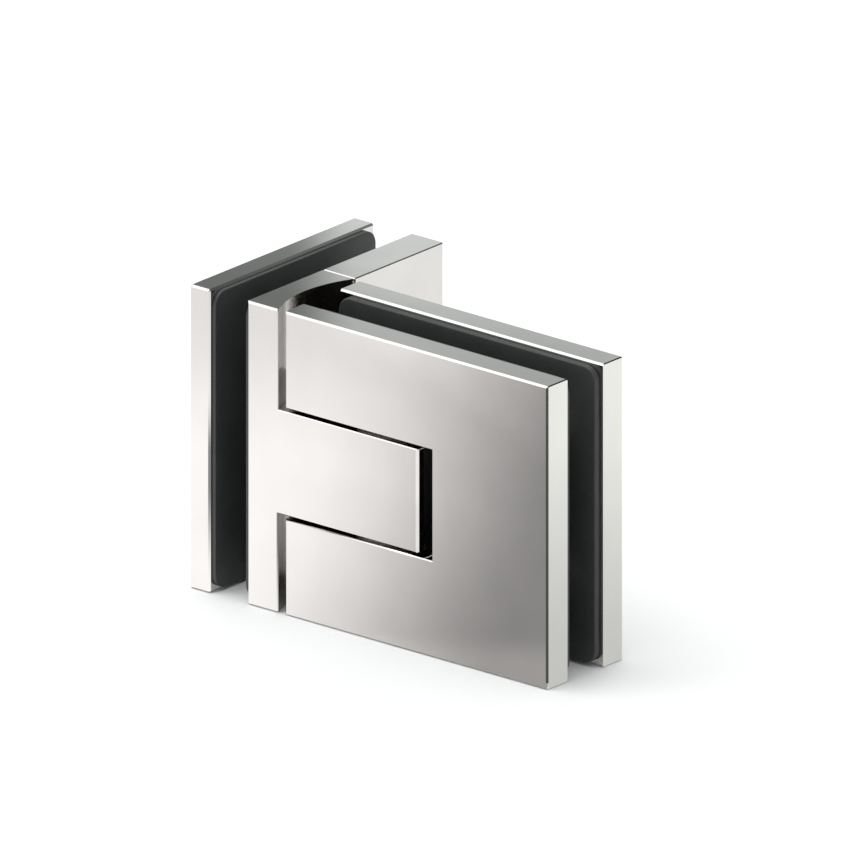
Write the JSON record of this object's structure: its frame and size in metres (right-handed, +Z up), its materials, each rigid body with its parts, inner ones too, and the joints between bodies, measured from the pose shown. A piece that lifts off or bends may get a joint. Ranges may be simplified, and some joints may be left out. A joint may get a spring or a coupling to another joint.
{
  "type": "glass door hinge",
  "caption": "Square-edged clamp hinge that hangs a glass door pane on a fixed pane at ninety degrees, with a flush pivot tongue.",
  "frame": {"origin": "setting-out corner of the fixed glass slot: the pivot body's pane side, front and bottom planes meet there", "axes": "+X along the closed door pane, +Y along the fixed pane, +Z up, parallel to the pivot axis"},
  "size_m": [0.1186, 0.0652, 0.082],
  "materials": {
    "chrome_plate": "bright chrome plate on brass",
    "rubber_sheet": "black rubber sheet",
    "steel": "turned stainless steel",
    "spring_steel": "dark spring wire",
    "white_nylon": "natural acetal and nylon",
    "cast_block": "milled steel block"
  },
  "bodies": {
    "fixed_half": {"pivot_body": "chrome_plate", "leg_cover": "chrome_plate", "cover_screw": "steel", "outer_clamp_plate": "chrome_plate", "inner_fixed_gasket": "rubber_sheet", "outer_fixed_gasket": "rubber_sheet", "upper_bushing": "white_nylon", "lower_bushing": "white_nylon", "upper_fixed_screw": "steel", "lower_fixed_screw": "steel", "upper_fixed_sleeve": "white_nylon", "lower_fixed_sleeve": "white_nylon", "upper_spring": "spring_steel", "lower_spring": "spring_steel", "upper_spring_plug": "steel", "lower_spring_plug": "steel"},
    "door_half": {"front_door_plate": "chrome_plate", "rear_door_plate": "chrome_plate", "front_door_gasket": "rubber_sheet", "rear_door_gasket": "rubber_sheet", "pivot_shaft": "steel", "upper_pivot_block": "cast_block", "lower_pivot_block": "cast_block", "upper_left_block_screw": "steel", "upper_right_block_screw": "steel", "lower_left_block_screw": "steel", "lower_right_block_screw": "steel", "upper_door_screw": "steel", "lower_door_screw": "steel", "upper_door_sleeve": "white_nylon", "lower_door_sleeve": "white_nylon"},
    "upper_detent": {"upper_plunger": "steel"},
    "lower_detent": {"lower_plunger": "steel"}
  },
  "joints": [
    {"name": "door_swing", "type": "hinge", "parent": "fixed_half", "child": "door_half", "pos_m": [0.038, 0.015, 0], "axis": [0, 0, 1], "range_deg": [-90, 90]},
    {"name": "upper_detent_slide", "type": "slide", "parent": "fixed_half", "child": "upper_detent", "axis": [1, 0, 0], "range_m": [0, 0.0012], "stiffness_N_per_m": 2000, "springref_m": 0.0012},
    {"name": "lower_detent_slide", "type": "slide", "parent": "fixed_half", "child": "lower_detent", "axis": [1, 0, 0], "range_m": [0, 0.0012], "stiffness_N_per_m": 2000, "springref_m": 0.0012}
  ]
}
